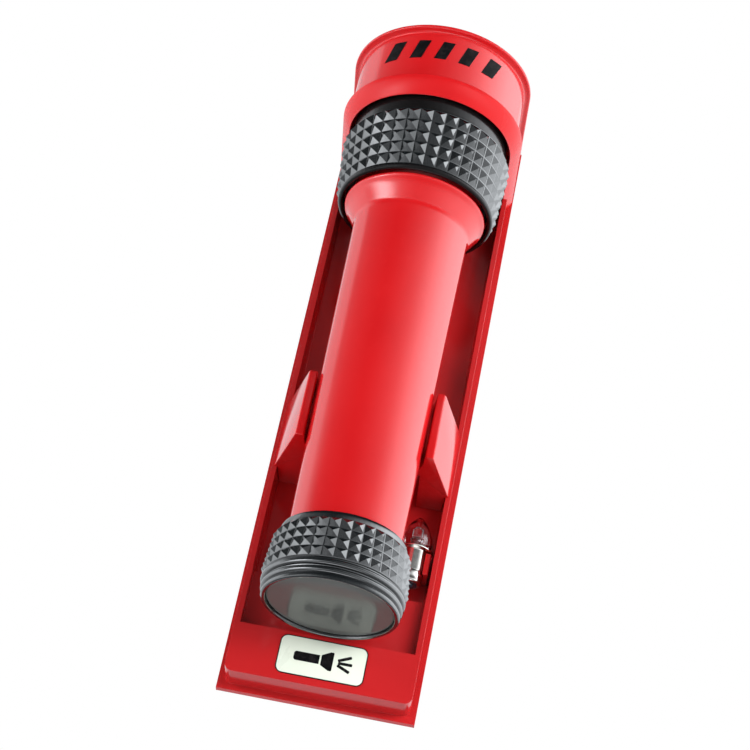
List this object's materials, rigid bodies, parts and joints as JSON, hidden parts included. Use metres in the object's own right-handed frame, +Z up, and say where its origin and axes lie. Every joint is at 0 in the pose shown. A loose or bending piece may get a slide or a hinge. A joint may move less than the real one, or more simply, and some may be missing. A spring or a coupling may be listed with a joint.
{
  "type": "wall-mounted emergency flashlight",
  "caption": "Red wall bracket with a hood and two clip arms holding a cylindrical battery flashlight with black knurled head ring and tail cap, plus a spare bulb.",
  "frame": {"origin": "midway between the two wall screw holes, on the bracket's back face against the wall", "axes": "+Z up along the flashlight from tail to head, +Y into the wall, -Y towards the person in front, +X to that person's right"},
  "size_m": [0.0704, 0.0739, 0.2502],
  "materials": {
    "red_plastic": "glossy moulded red plastic",
    "black_plastic": "semi-gloss moulded black plastic",
    "label_stock": "satin cream printed film",
    "print": "satin black printing ink",
    "bulb_glass": "clear glass",
    "lens_plastic": "clear polycarbonate",
    "nickel": "nickel plated",
    "brass": "plain brass strip",
    "tungsten": "bright wire",
    "spring_steel": "bright spring wire",
    "cell_jacket": "dark printed steel jacket, no marks",
    "seal_rubber": "soft black rubber",
    "mirror_disc": "high gloss dark grey",
    "reflector_metal": "vacuum-metallised",
    "insulator": "black glass bead"
  },
  "bodies": {
    "bracket": {"back_tray": "red_plastic", "hood": "red_plastic", "clip_arm_left": "red_plastic", "clip_arm_right": "red_plastic", "label": "label_stock", "hood_mark": "print", "bulb_clip": "red_plastic", "switch_boss": "red_plastic", "spare_glass": "bulb_glass", "spare_base": "nickel", "spare_insulator": "insulator", "spare_filament": "tungsten"},
    "torch": {"barrel": "red_plastic", "contact_strip": "brass", "tail_oring": "seal_rubber", "head_oring": "seal_rubber", "cell_rear": "cell_jacket", "cell_rear_terminals": "nickel", "cell_front": "cell_jacket", "cell_front_terminals": "nickel", "lamp_holder": "black_plastic", "centre_contact": "brass", "lamp_glass": "bulb_glass", "lamp_base": "nickel", "lamp_insulator": "insulator", "lamp_filament": "tungsten"},
    "switch_button": {"switch_plunger": "black_plastic"},
    "tail_slide": {"tail_spring": "spring_steel", "tail_plate": "nickel"},
    "tail_end": {"tail_cap": "black_plastic", "tail_disc": "mirror_disc"},
    "head_slide": {"reflector": "reflector_metal", "lens": "lens_plastic", "lens_gasket": "seal_rubber"},
    "head_end": {"head_ring": "black_plastic"}
  },
  "joints": [
    {"name": "flashlight_swing", "type": "hinge", "parent": "bracket", "child": "torch", "pos_m": [0, -0.0699, 0.1085], "axis": [-1, 0, 0], "range_deg": [0, 25]},
    {"name": "switch_travel", "type": "slide", "parent": "torch", "child": "switch_button", "axis": [0, 1, 0], "range_m": [0, 0.0009]},
    {"name": "tail_cap_draw", "type": "slide", "parent": "torch", "child": "tail_slide", "axis": [0, 0, -1], "range_m": [0, 0.0035]},
    {"name": "tail_cap_turn", "type": "hinge", "parent": "tail_slide", "child": "tail_end", "pos_m": [0, -0.039, -0.09], "axis": [0, 0, -1], "range_deg": [0, 635]},
    {"name": "head_ring_draw", "type": "slide", "parent": "torch", "child": "head_slide", "axis": [0, 0, 1], "range_m": [0, 0.004]},
    {"name": "head_ring_turn", "type": "hinge", "parent": "head_slide", "child": "head_end", "pos_m": [0, -0.039, 0.09], "axis": [0, 0, 1], "range_deg": [0, 726]}
  ],
  "couplings": [
    {"joint": "switch_travel", "follows": "flashlight_swing", "m_per_rad": 0.00206},
    {"joint": "tail_cap_turn", "follows": "tail_cap_draw", "rad_per_m": 3141.6},
    {"joint": "head_ring_turn", "follows": "head_ring_draw", "rad_per_m": 3141.6}
  ]
}
